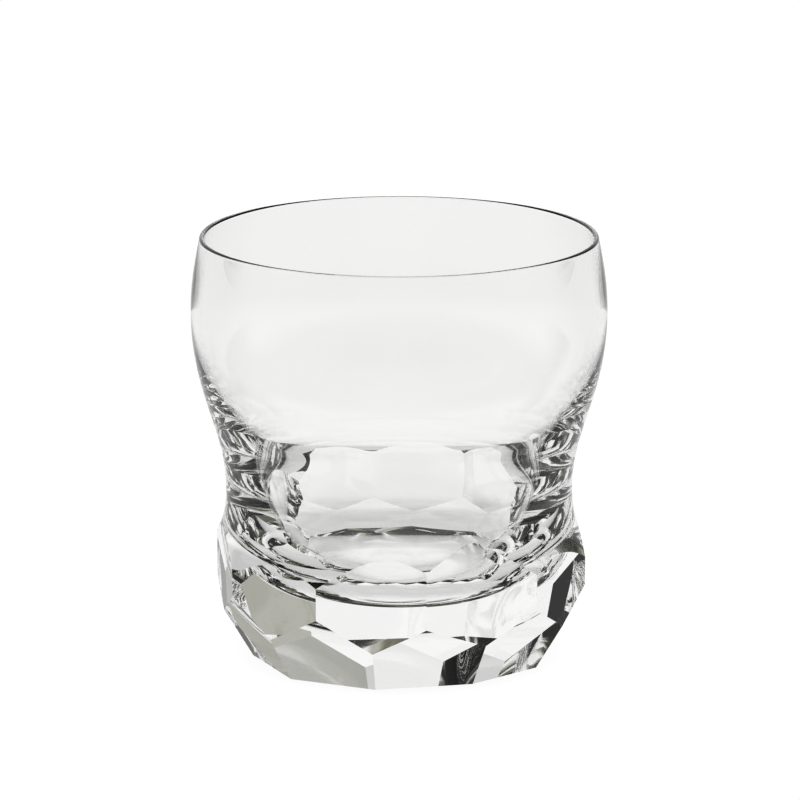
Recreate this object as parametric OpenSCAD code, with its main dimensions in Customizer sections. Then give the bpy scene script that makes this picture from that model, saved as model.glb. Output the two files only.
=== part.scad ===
// Whiskey tumbler in clear crystal: one piece of glass, turned and then cut.
// A turned blank carries the bowl, the waist and a plain round foot. Two staggered rows
// of flat facets are then cut into the foot. The origin is on the axis, at the underside.

/* [Bowl] */
// Height of the tumbler, underside to rim
height = 92; // [85:0.5:98]
// Radius of the rim, to its outside
rim_r = 42.85; // [40:0.05:44]
// Radius of the bowl where it bulges most
bulge_r = 44.8; // [44.2:0.1:47]
// Height of the widest place of the bowl
bulge_z = 75.5; // [72:0.5:80]
// Thickness of the wall at the rim
rim_wall = 1.1; // [0.8:0.1:1.8]
// Thickness of the wall at the bulge
bulge_wall = 1.4; // [1:0.1:2.5]

/* [Waist and base] */
// Radius of the waist
waist_r = 37.5; // [36.5:0.1:37.6]
// Height of the waist
waist_z = 36.8; // [35:0.2:38]
// Height where the wall begins to thicken, inside
swell_z = 54; // [51:0.5:56]
// Radius of the cavity at that height
swell_r = 38.2; // [37.9:0.1:38.8]
// Lean of the cavity's wall below that height, from the vertical
cavity_lean = 28.5; // [26:0.5:32]
// How far the cavity's wall holds that lean
cavity_hold = 28; // [24:0.5:32]
// How wide the floor of the cavity holds level, from the axis
floor_hold = 38; // [32:0.5:39]
// Thickness of the solid base on the axis
floor_z = 14.4; // [13.5:0.1:18]

/* [Foot] */
// Radius of the round foot before it is cut
foot_r = 42.6; // [42.4:0.1:43.5]
// Height of the round foot, below its shoulder
shoulder_z = 20.5; // [19:0.5:21.5]
// Number of facets in each row
facets = 10; // [10]
// Direction of the first facet of the upper row, from the front towards the right
first_azimuth = -8; // [-18:1:18]

/* [Upper row of facets] */
// Distance of these facets from the axis
upper_apothem = 38.6; // [38.5:0.1:39]

/* [Lower row of facets] */
// Lean of these facets, undercut from the vertical
lower_lean = 30; // [27:0.5:32]
// Distance of these facets from the axis, at the underside
lower_apothem = 31.06; // [30:0.02:32]

/* [Hidden] */
$fn = 96;

// The facets were cut by hand, one by one, so each is a little off its even place.
// How far each facet is turned, in degrees, and how far it stands proud, in millimetres.
upper_turn = [4, -4, -4, -2, 1, 0, -1, 3, -1, 3];
upper_proud = [-0.4, -0.9, 0.9, -0.2, 0.3, -0.3, 0.2, -0.4, -0.1, 0.9];
lower_turn = [2, -4, 1, 1, -1, 2, 0, 2, -3, 2];
lower_proud = [-0.6, 0.1, 0.1, 0.3, -0.2, 0.3, 0, -0.2, 0.1, 0.4];

pitch = 360 / facets;
steps = 16;
lip_step = 15;

// The blocks that cut the facets: their size, how far they reach past the glass, and how
// far up they go along each row's facets, to end at the waist.
block = 60;
past = 1;
upper_reach = waist_z + past;
lower_reach = 42;

// A point on the cubic curve with ends a and d and handles b and c.
function curve_point(a, b, c, d, t) =
    pow(1 - t, 3) * a + 3 * pow(1 - t, 2) * t * b + 3 * (1 - t) * t * t * c + t * t * t * d;

// The curve as points, without its first one, so that curves join end to end.
function curve(a, b, c, d) = [for (i = [1 : steps]) curve_point(a, b, c, d, i / steps)];

// Outside, from the shoulder of the foot up to the rim. The pulls are the curves' handles.
flare_foot_pull = [-3.2, 6.3];
flare_waist_pull = [0, -8];
waist_pull = [0, 13.5];
bulge_pull_down = [0, -18];
bulge_pull_up = [0, 5.5];
rim_pull = [1.3, -6.5];
shoulder = [foot_r, shoulder_z];
waist = [waist_r, waist_z];
bulge = [bulge_r, bulge_z];
rim_outside = [rim_r, height - rim_wall / 2];
flare = curve(shoulder, shoulder + flare_foot_pull, waist + flare_waist_pull, waist);
lower_bowl = curve(waist, waist + waist_pull, bulge + bulge_pull_down, bulge);
upper_bowl = curve(bulge, bulge + bulge_pull_up, rim_outside + rim_pull, rim_outside);

// The lip is round, half a circle over the thickness of the wall.
lip_r = rim_wall / 2;
lip_centre = [rim_r - lip_r, height - lip_r];
lip = [for (a = [lip_step : lip_step : 180 - lip_step]) lip_centre + lip_r * [cos(a), sin(a)]];

// Inside, from the rim down to the floor of the cavity.
bulge_inside_pull = [0, -9];
swell_pull = [3.2, 6.5];
rim_inside = rim_outside - [rim_wall, 0];
bulge_inside = bulge - [bulge_wall, 0];
swell = [swell_r, swell_z];
cavity_pull = -cavity_hold * [sin(cavity_lean), cos(cavity_lean)];
floor_centre = [0, floor_z];
upper_cavity = curve(
    rim_inside, rim_inside + rim_pull, bulge_inside + bulge_pull_up, bulge_inside
);
middle_cavity = curve(
    bulge_inside, bulge_inside + bulge_inside_pull, swell + swell_pull, swell
);
lower_cavity = curve(
    swell, swell + cavity_pull, floor_centre + [floor_hold, 0], floor_centre
);

profile = concat(
    [[0, 0], [foot_r, 0], shoulder],
    flare, lower_bowl, upper_bowl,
    lip,
    [rim_inside],
    upper_cavity, middle_cavity, lower_cavity
);

// A block whose inner face is one facet's plane. Its outward direction is turned from
// the front, and the face leans about a line at the height of the underside.
module facet_block(azimuth, lean, distance, reach_down, reach_up) {
    rotate([0, 0, azimuth - 90])
    translate([distance, 0, 0])
    rotate([0, lean, 0])
    translate([0, -block / 2, -reach_down])
    cube([block / 2, block, reach_down + reach_up]);
}

module upper_row() {
    for (i = [0 : facets - 1])
    facet_block(
        first_azimuth + pitch * i + upper_turn[i],
        0,
        upper_apothem + upper_proud[i],
        past, upper_reach
    );
}

module lower_row() {
    for (i = [0 : facets - 1])
    facet_block(
        first_azimuth + pitch * (i + 0.5) + lower_turn[i],
        lower_lean,
        lower_apothem + lower_proud[i],
        block / 2, lower_reach
    );
}

module tumbler() {
    color("azure", 0.5)
    difference() {
        rotate_extrude() polygon(profile);
        upper_row();
        lower_row();
    }
}

tumbler();
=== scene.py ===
"""Looks of the whiskey tumbler: one closed glass mesh, turned and then cut, in a pale studio.

The shape follows the CAD part's own sizes, in millimetres, with finer curves.
"""

import math

import bmesh
import bpy
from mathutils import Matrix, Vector


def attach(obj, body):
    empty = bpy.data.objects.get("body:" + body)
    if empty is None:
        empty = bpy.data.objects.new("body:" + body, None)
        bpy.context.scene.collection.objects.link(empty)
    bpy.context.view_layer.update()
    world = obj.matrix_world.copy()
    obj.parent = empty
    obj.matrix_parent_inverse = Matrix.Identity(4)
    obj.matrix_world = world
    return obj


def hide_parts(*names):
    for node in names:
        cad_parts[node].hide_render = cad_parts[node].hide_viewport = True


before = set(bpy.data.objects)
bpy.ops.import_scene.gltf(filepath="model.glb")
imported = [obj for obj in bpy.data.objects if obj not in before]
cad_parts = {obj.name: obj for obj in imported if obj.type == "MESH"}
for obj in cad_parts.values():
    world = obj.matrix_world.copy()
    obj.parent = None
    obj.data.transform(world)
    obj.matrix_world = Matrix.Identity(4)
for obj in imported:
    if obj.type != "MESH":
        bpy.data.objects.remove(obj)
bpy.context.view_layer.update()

MM = 0.001

# --- The glass's sizes, as in the CAD part ---------------------------------------------

HEIGHT = 92.0
RIM_R = 42.85
RIM_WALL = 1.1
BULGE_R = 44.8
BULGE_Z = 75.5
BULGE_WALL = 1.4
WAIST_R = 37.5
WAIST_Z = 36.8
SWELL_R = 38.2
SWELL_Z = 54.0
CAVITY_LEAN = 28.5
CAVITY_HOLD = 28.0
FLOOR_HOLD = 38.0
FLOOR_Z = 14.4
FOOT_R = 42.6
SHOULDER_Z = 20.5

# Handles of the profile's curves, each as a step in radius and height from its curve's end.
FLARE_FOOT_PULL = Vector((-3.2, 6.3))
FLARE_WAIST_PULL = Vector((0, -8))
WAIST_PULL = Vector((0, 13.5))
BULGE_PULL_DOWN = Vector((0, -18))
BULGE_PULL_UP = Vector((0, 5.5))
RIM_PULL = Vector((1.3, -6.5))
BULGE_INSIDE_PULL = Vector((0, -9))
SWELL_PULL = Vector((3.2, 6.5))

FACETS = 10
FIRST_AZIMUTH = -8.0
UPPER_APOTHEM = 38.6
LOWER_APOTHEM = 31.06
LOWER_LEAN = 30.0
# The lower row is turned by this share of the step from one facet to the next.
STAGGER = 0.5
# How far each facet is off its even place: turned (degrees) and standing proud (mm). Those
# in front follow a fit to the photo, rounded. The hidden ones, upper 4 to 6 and lower 3 to
# 6, counted from 0, are made up.
UPPER_TURN = (4, -4, -4, -2, 1, 0, -1, 3, -1, 3)
UPPER_PROUD = (-0.4, -0.9, 0.9, -0.2, 0.3, -0.3, 0.2, -0.4, -0.1, 0.9)
LOWER_TURN = (2, -4, 1, 1, -1, 2, 0, 2, -3, 2)
LOWER_PROUD = (-0.6, 0.1, 0.1, 0.3, -0.2, 0.3, 0, -0.2, 0.1, 0.4)

# --- How finely the mesh is made -------------------------------------------------------

# Steps round the axis, along a curve of the profile, and round the lip (degrees).
SEGMENTS = 288
CURVE_STEPS = 44
LIP_STEP = 15
# A radius below this (mm) is on the axis, and a vertex this close (m) to a cut lies on it.
ON_AXIS = 1e-6
ON_CUT = 1e-7
# A turned face has at most this many sides. One with more was made or trimmed by a cut.
TURNED_SIDES = 4
# The foot's edges are sharp past this angle, up to just below (m) the waist.
SMOOTH_ANGLE = math.radians(4)
JUST_BELOW = 1e-5


# --- Turned profile --------------------------------------------------------------------


def curve(a, b, c, d):
    """Points of the cubic curve with ends a and d and handles b and c, without a."""
    points = []
    for i in range(1, CURVE_STEPS + 1):
        t = i / CURVE_STEPS
        weights = ((1 - t) ** 3, 3 * (1 - t) ** 2 * t, 3 * (1 - t) * t * t, t**3)
        points.append(sum((w * p for w, p in zip(weights, (a, b, c, d))), Vector((0, 0))))
    return points


def profiles():
    """The foot's blank up to the waist, and the rest from the waist over the lip to the axis."""
    shoulder = Vector((FOOT_R, SHOULDER_Z))
    waist = Vector((WAIST_R, WAIST_Z))
    bulge = Vector((BULGE_R, BULGE_Z))
    lip_r = RIM_WALL / 2
    lip_centre = Vector((RIM_R - lip_r, HEIGHT - lip_r))
    rim_outside = Vector((RIM_R, HEIGHT - lip_r))
    rim_inside = rim_outside - Vector((RIM_WALL, 0))
    bulge_inside = bulge - Vector((BULGE_WALL, 0))
    swell = Vector((SWELL_R, SWELL_Z))
    lean = math.radians(CAVITY_LEAN)
    cavity_pull = -CAVITY_HOLD * Vector((math.sin(lean), math.cos(lean)))
    floor_centre = Vector((0, FLOOR_Z))
    floor_pull = Vector((FLOOR_HOLD, 0))

    foot = [Vector((FOOT_R, 0)), shoulder]
    foot += curve(shoulder, shoulder + FLARE_FOOT_PULL, waist + FLARE_WAIST_PULL, waist)

    rest = curve(waist, waist + WAIST_PULL, bulge + BULGE_PULL_DOWN, bulge)
    rest += curve(bulge, bulge + BULGE_PULL_UP, rim_outside + RIM_PULL, rim_outside)
    for angle in range(LIP_STEP, 180, LIP_STEP):
        a = math.radians(angle)
        rest.append(lip_centre + lip_r * Vector((math.cos(a), math.sin(a))))
    rest.append(rim_inside)
    rest += curve(rim_inside, rim_inside + RIM_PULL, bulge_inside + BULGE_PULL_UP, bulge_inside)
    rest += curve(bulge_inside, bulge_inside + BULGE_INSIDE_PULL, swell + SWELL_PULL, swell)
    rest += curve(swell, swell + cavity_pull, floor_centre + floor_pull, floor_centre)
    return foot, rest


def turn(bm, profile, ring=None):
    """Turns a profile of (radius, height) about the axis, on from a ring of vertices."""
    angles = [math.tau * i / SEGMENTS for i in range(SEGMENTS)]
    rings = [ring] if ring else []
    for r, z in profile:
        if r < ON_AXIS:
            rings.append([bm.verts.new((0, 0, z * MM))])
            continue
        places = [(r * MM * math.cos(a), r * MM * math.sin(a), z * MM) for a in angles]
        rings.append([bm.verts.new(place) for place in places])
    for low, high in zip(rings, rings[1:]):
        for i in range(SEGMENTS):
            j = (i + 1) % SEGMENTS
            if len(high) == 1:
                bm.faces.new((low[i], low[j], high[0]))
            else:
                bm.faces.new((low[i], low[j], high[j], high[i]))
    return rings


# --- Cut facets ------------------------------------------------------------------------


def facet_planes():
    """Each facet as a point on its plane and its outward direction."""
    pitch = 360 / FACETS
    rows = (
        (0, 0, UPPER_APOTHEM, UPPER_TURN, UPPER_PROUD),
        (STAGGER, LOWER_LEAN, LOWER_APOTHEM, LOWER_TURN, LOWER_PROUD),
    )
    for stagger, lean_degrees, apothem, turns, prouds in rows:
        lean = math.radians(lean_degrees)
        for i, (turned, proud) in enumerate(zip(turns, prouds)):
            azimuth = math.radians(FIRST_AZIMUTH + pitch * (i + stagger) + turned)
            out = Vector((math.sin(azimuth), -math.cos(azimuth), 0))
            point = out * (apothem + proud) * MM
            yield point, out * math.cos(lean) - Vector((0, 0, math.sin(lean)))


def cut(bm, point, out):
    """Cuts away what lies outside one facet's plane, and closes the cut with a flat face."""
    parts = list(bm.verts) + list(bm.edges) + list(bm.faces)
    result = bmesh.ops.bisect_plane(
        bm, geom=parts, dist=ON_CUT, plane_co=point, plane_no=out, clear_outer=True
    )
    edges = [part for part in result["geom_cut"] if isinstance(part, bmesh.types.BMEdge)]
    bmesh.ops.contextual_create(bm, geom=edges)


def turn_and_cut(bm):
    """Turns the foot under a lid and cuts it, and then turns the bowl on from the lid's ring."""
    foot, rest = profiles()
    rings = turn(bm, foot)
    bm.faces.new(list(reversed(rings[0])))
    lid = bm.faces.new(rings[-1])
    bmesh.ops.recalc_face_normals(bm, faces=bm.faces)
    for point, out in facet_planes():
        cut(bm, point, out)
    bmesh.ops.delete(bm, geom=[lid], context="FACES_ONLY")
    turn(bm, rest, rings[-1])
    bmesh.ops.recalc_face_normals(bm, faces=bm.faces)


def shade(bm):
    """Smooth all over, but sharp where the foot is cut."""
    bm.normal_update()
    for face in bm.faces:
        face.smooth = True
    top = WAIST_Z * MM - JUST_BELOW
    for edge in bm.edges:
        is_foot = max(v.co.z for v in edge.verts) < top
        is_cut = any(len(face.verts) > TURNED_SIDES for face in edge.link_faces)
        edge.smooth = not (is_foot and (is_cut or edge.calc_face_angle(0) > SMOOTH_ANGLE))


def build_glass():
    """The glass as one closed mesh, in metres."""
    bm = bmesh.new()
    turn_and_cut(bm)
    shade(bm)
    mesh = bpy.data.meshes.new("tumbler_glass")
    bm.to_mesh(mesh)
    bm.free()
    glass = bpy.data.objects.new("tumbler_glass", mesh)
    bpy.context.scene.collection.objects.link(glass)
    return glass


# --- Shader nodes ----------------------------------------------------------------------


class Sums:
    """Small helper that writes sums as shader nodes."""

    def __init__(self, tree):
        self.tree = tree

    def node(self, kind, **settings):
        made = self.tree.nodes.new(kind)
        for key, value in settings.items():
            setattr(made, key, value)
        return made

    def feed(self, socket, value):
        """Sets the socket to a number, or links it to another node's output."""
        if isinstance(value, (int, float)):
            socket.default_value = value
        else:
            self.tree.links.new(value, socket)

    def math(self, operation, *values):
        made = self.node("ShaderNodeMath", operation=operation)
        for socket, value in zip(made.inputs, values):
            self.feed(socket, value)
        return made.outputs[0]

    def ramp(self, value, start, end, low, high):
        """Smoothly from low, where value is start, to high, where it is end."""
        made = self.node("ShaderNodeMapRange", interpolation_type="SMOOTHSTEP")
        self.feed(made.inputs["Value"], value)
        names = ("From Min", "From Max", "To Min", "To Max")
        for name, number in zip(names, (start, end, low, high)):
            made.inputs[name].default_value = number
        return made.outputs[0]

    def noise(self, place, scale, detail):
        made = self.node("ShaderNodeTexNoise")
        self.feed(made.inputs["Vector"], place)
        made.inputs["Scale"].default_value = scale
        made.inputs["Detail"].default_value = detail
        return made.outputs[0]

    def split(self, vector):
        made = self.node("ShaderNodeSeparateXYZ")
        self.feed(made.inputs[0], vector)
        return made.outputs


# --- Crystal ---------------------------------------------------------------------------

# The glass itself: its tint, its index of refraction, and its roughness where it isn't worn.
CRYSTAL_TINT = (0.99, 0.99, 0.986, 1)
CRYSTAL_IOR = 1.52
POLISH = 0.004
# The value that a noise swings about.
NOISE_MIDDLE = 0.5
# Scuffs, on the underside: their roughness, how high they reach (m), how fine and how
# detailed their noise is, and the stretch of it over which a patch fades in.
SCUFFED = 0.06
SCUFF_TOP = 0.0012
SCUFFS_PER_METRE = 300
SCUFF_DETAIL = 3
SCUFF_EDGE = (0.45, 0.65)
# Hairlines: their roughness, how thin they are, how they are drawn out, and how they run.
SCRATCHED = 0.05
HAIRLINE = 0.004
HAIRLINES_PER_METRE = 480
HAIRLINE_DETAIL = 2
HAIRLINE_STRETCH = (1, 1, 0.07)
HAIRLINE_AXIS = (1, 0.6, 0.2)
HAIRLINE_SLANTS = (0.5, -0.9)
# The patches that have hairlines, written as the scuffs are.
HAIRLINE_PATCHES_PER_METRE = 60
HAIRLINE_PATCH_DETAIL = 1
HAIRLINE_PATCH_EDGE = (0.55, 0.7)
# Waves left by the polishing: their height (m), and how close and how detailed they are.
WAVE_HEIGHT = 0.000003
WAVES_PER_METRE = 26
WAVE_DETAIL = 1


def scuffs(sums, place):
    """Roughness in patches on the underside, from the tables that the glass has stood on."""
    low = sums.ramp(sums.split(place)["Z"], 0, SCUFF_TOP, 1, 0)
    noise = sums.noise(place, SCUFFS_PER_METRE, SCUFF_DETAIL)
    patches = sums.ramp(noise, *SCUFF_EDGE, 0, SCUFFED)
    return sums.math("MULTIPLY", patches, low)


def hairlines(sums, place):
    """Roughness along a few thin lines, where a drawn-out noise passes through its middle."""
    lines = 0
    for slant in HAIRLINE_SLANTS:
        turned = sums.node("ShaderNodeVectorRotate", rotation_type="AXIS_ANGLE")
        sums.feed(turned.inputs["Vector"], place)
        turned.inputs["Axis"].default_value = HAIRLINE_AXIS
        turned.inputs["Angle"].default_value = slant
        drawn = sums.node("ShaderNodeVectorMath", operation="MULTIPLY")
        sums.feed(drawn.inputs[0], turned.outputs[0])
        drawn.inputs[1].default_value = HAIRLINE_STRETCH
        swing = sums.noise(drawn.outputs[0], HAIRLINES_PER_METRE, HAIRLINE_DETAIL)
        off_middle = sums.math("ABSOLUTE", sums.math("SUBTRACT", swing, NOISE_MIDDLE))
        lines = sums.math("MAXIMUM", lines, sums.ramp(off_middle, 0, HAIRLINE, SCRATCHED, 0))
    noise = sums.noise(place, HAIRLINE_PATCHES_PER_METRE, HAIRLINE_PATCH_DETAIL)
    patches = sums.ramp(noise, *HAIRLINE_PATCH_EDGE, 0, 1)
    return sums.math("MULTIPLY", lines, patches)


def crystal():
    """Clear polished crystal: faintly wavy, with a few hairlines, and scuffed where it stands."""
    material = bpy.data.materials.new("crystal")
    material.use_nodes = True
    shader = material.node_tree.nodes["Principled BSDF"]
    shader.inputs["Base Color"].default_value = CRYSTAL_TINT
    shader.inputs["Transmission Weight"].default_value = 1.0
    shader.inputs["IOR"].default_value = CRYSTAL_IOR

    sums = Sums(material.node_tree)
    place = sums.node("ShaderNodeTexCoord").outputs["Object"]
    wear = sums.math("MAXIMUM", scuffs(sums, place), hairlines(sums, place))
    sums.feed(shader.inputs["Roughness"], sums.math("ADD", wear, POLISH))

    waves = sums.node("ShaderNodeBump")
    waves.inputs["Distance"].default_value = WAVE_HEIGHT
    sums.feed(waves.inputs["Height"], sums.noise(place, WAVES_PER_METRE, WAVE_DETAIL))
    sums.feed(shader.inputs["Normal"], waves.outputs["Normal"])
    return material


# --- Studio ----------------------------------------------------------------------------

# What the camera sees straight past the glass.
WHITE = 1.03

# The room's light by direction. Each row is a smooth change: from one angle to another, in
# degrees, and from one share of the light to another. Azimuth 0 is straight behind the
# glass, and the backdrop there is brightest from the left to a little right of it.
LIT_FROM_LEFT = (-62, -48, 0, 1)
DIM_AT_RIGHT = (20, 32, 1, 0.54)
DIMMER_AT_RIGHT = (36, 48, 1, 0.45)
UNLIT_AT_RIGHT = (70, 110, 1, 0)
DIM_HIGHER = (22, 29, 0.97, 0.76)
UNLIT_ABOVE = (36, 50, 1, 0.05)
# The backdrop in front starts at both sides and is low.
FRONT_FROM_SIDES = (62, 84, 0, 0.9)
FRONT_UP_TO = (8, 20, 1, 0)
# The rest of the room isn't quite dark.
ROOM_GLOW = 0.008
# Where the light is dim it is warmer: from one light to another, and the share of blue.
LESS_BLUE = (0.2, 0.8, 0.8, 1)

# The table: half its width, and how far below the glass it lies (m).
FLOOR_HALF = 6.0
FLOOR_DROP = 0.0002
# Its glow is painted light and shade in place of a lit table: a lighter spot under the middle of the
# foot, a painted shadow round the foot, and dimmer in front, far behind and aside. It is written
# like the room's light, over metres from the axis, backwards or sideways.
UNDER_FOOT = (0.010, 0.022, 0.95, 0.76)
AROUND_FOOT = (0.044, 0.062, 0.76, 0.965)
IN_FRONT = (-0.30, -0.09, 0.92, 1)
FAR_BEHIND = (0.26, 0.33, 1, 0.96)
TO_THE_SIDES = (0.04, 0.075, 1, 0.95)
# What the camera sees straight of the painted shadow round the foot, over metres from the axis.
SEEN_SHADE = (0.030, 0.042, 0.97, WHITE)

# The softbox: its side and its place (m), and its radiance.
SOFTBOX_SIZE = 0.45
SOFTBOX_PLACE = (-0.126, 0.47, 1.205)
SOFTBOX_RADIANCE = 0.9


def studio_world():
    """A dim room: a broad backdrop behind the glass, darker at the right, and a low one in front."""
    world = bpy.data.worlds.new("studio")
    bpy.context.scene.world = world
    world.use_nodes = True
    sums = Sums(world.node_tree)
    x, y, z = sums.split(sums.node("ShaderNodeTexCoord").outputs["Generated"])
    azimuth = sums.math("DEGREES", sums.math("ARCTAN2", x, y))
    elevation = sums.math("DEGREES", sums.math("ARCSINE", z))

    light = sums.ramp(azimuth, *LIT_FROM_LEFT)
    for change in (DIM_AT_RIGHT, DIMMER_AT_RIGHT, UNLIT_AT_RIGHT):
        light = sums.math("MULTIPLY", light, sums.ramp(azimuth, *change))
    for change in (DIM_HIGHER, UNLIT_ABOVE):
        light = sums.math("MULTIPLY", light, sums.ramp(elevation, *change))
    front = sums.ramp(sums.math("ABSOLUTE", azimuth), *FRONT_FROM_SIDES)
    front = sums.math("MULTIPLY", front, sums.ramp(elevation, *FRONT_UP_TO))
    light = sums.math("MAXIMUM", light, sums.math("MAXIMUM", front, ROOM_GLOW))
    blue = sums.math("MULTIPLY", light, sums.ramp(light, *LESS_BLUE))

    # Straight past the glass, the camera sees a white room.
    seen = sums.node("ShaderNodeLightPath").outputs["Is Camera Ray"]
    white = sums.math("MULTIPLY", seen, WHITE)
    colour = sums.node("ShaderNodeCombineColor")
    for channel, level in zip(("Red", "Green", "Blue"), (light, light, blue)):
        sums.feed(colour.inputs[channel], sums.math("MAXIMUM", level, white))
    sums.feed(world.node_tree.nodes["Background"].inputs["Color"], colour.outputs["Color"])


def overhead_softbox():
    """A square softbox above and behind the glass, turned towards it."""
    data = bpy.data.lights.new("overhead_softbox", "AREA")
    data.shape = "SQUARE"
    data.size = SOFTBOX_SIZE
    data.energy = SOFTBOX_RADIANCE * math.pi * SOFTBOX_SIZE**2
    lamp = bpy.data.objects.new("overhead_softbox", data)
    lamp.location = SOFTBOX_PLACE
    lamp.rotation_euler = (-lamp.location).to_track_quat("-Z", "Y").to_euler()
    bpy.context.scene.collection.objects.link(lamp)


def floor_material():
    """White that glows in place of a lit floor, with painted light and shade: a lighter spot under
    the foot's middle, a painted shadow round the foot, and dimmer in front, far behind and aside.
    """
    material = bpy.data.materials.new("floor")
    material.use_nodes = True
    tree = material.node_tree
    tree.nodes.clear()
    sums = Sums(tree)
    position = sums.node("ShaderNodeNewGeometry").outputs["Position"]
    length = sums.node("ShaderNodeVectorMath", operation="LENGTH")
    sums.feed(length.inputs[0], position)
    radius = length.outputs["Value"]
    sideways, backwards, _ = sums.split(position)

    # Painted light and shade: lighter under the middle of the foot, a painted shadow round it, then
    # white.
    glow = sums.math("MAXIMUM", sums.ramp(radius, *UNDER_FOOT), sums.ramp(radius, *AROUND_FOOT))
    # Painted shade: dimmer in front, far behind and to the sides.
    for change in (IN_FRONT, FAR_BEHIND):
        glow = sums.math("MULTIPLY", glow, sums.ramp(backwards, *change))
    aside = sums.ramp(sums.math("ABSOLUTE", sideways), *TO_THE_SIDES)
    glow = sums.math("MULTIPLY", glow, aside)
    # Seen straight, the painted shadow round the foot is faint.
    seen = sums.node("ShaderNodeLightPath").outputs["Is Camera Ray"]
    straight = sums.math("MULTIPLY", seen, sums.ramp(radius, *SEEN_SHADE))

    emission = sums.node("ShaderNodeEmission")
    sums.feed(emission.inputs["Strength"], sums.math("MAXIMUM", glow, straight))
    output = sums.node("ShaderNodeOutputMaterial")
    sums.feed(output.inputs["Surface"], emission.outputs[0])
    return material


def pale_floor():
    """A wide white table, just below the glass so that the two faces don't coincide."""
    bm = bmesh.new()
    bmesh.ops.create_grid(bm, x_segments=1, y_segments=1, size=FLOOR_HALF)
    mesh = bpy.data.meshes.new("floor")
    bm.to_mesh(mesh)
    bm.free()
    mesh.materials.append(floor_material())
    floor = bpy.data.objects.new("floor", mesh)
    floor.location.z = -FLOOR_DROP
    bpy.context.scene.collection.objects.link(floor)


# --- Camera ----------------------------------------------------------------------------

# How far off (m) and how high (degrees) it stands, from the middle of the glass, its lens
# and sensor (mm), and the place that it looks at (m).
CAMERA_DISTANCE = 1.15
CAMERA_ELEVATION = 13.98
CAMERA_LENS = 239.2
CAMERA_SENSOR = 36
LOOK_AT = Vector((0.0002, 0, 0.0556))


def add_camera():
    """A long lens at the photo's angle, looking down on the glass a little."""
    data = bpy.data.cameras.new("camera")
    data.sensor_width = CAMERA_SENSOR
    data.lens = CAMERA_LENS
    camera = bpy.data.objects.new("camera", data)
    elevation = math.radians(CAMERA_ELEVATION)
    middle = Vector((0, 0, HEIGHT / 2 * MM))
    towards_camera = Vector((0, -math.cos(elevation), math.sin(elevation)))
    camera.location = middle + CAMERA_DISTANCE * towards_camera
    camera.rotation_euler = (LOOK_AT - camera.location).to_track_quat("-Z", "Y").to_euler()
    bpy.context.scene.collection.objects.link(camera)
    bpy.context.scene.camera = camera


# --- Scene -----------------------------------------------------------------------------

# Below 1, the gamma darkens the middle tones, to the photo's contrast.
VIEW_GAMMA = 0.7
# Light crosses many faces of the cut glass before it comes out.
BOUNCES = 32
GLOSSY_BOUNCES = 16

glass = build_glass()
glass.data.materials.append(crystal())
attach(glass, "root")
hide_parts("tumbler")

pale_floor()
studio_world()
overhead_softbox()
add_camera()

scene = bpy.context.scene
scene.view_settings.view_transform = "Standard"
scene.view_settings.gamma = VIEW_GAMMA
scene.cycles.max_bounces = BOUNCES
scene.cycles.transmission_bounces = BOUNCES
scene.cycles.glossy_bounces = GLOSSY_BOUNCES
scene.cycles.use_denoising = True
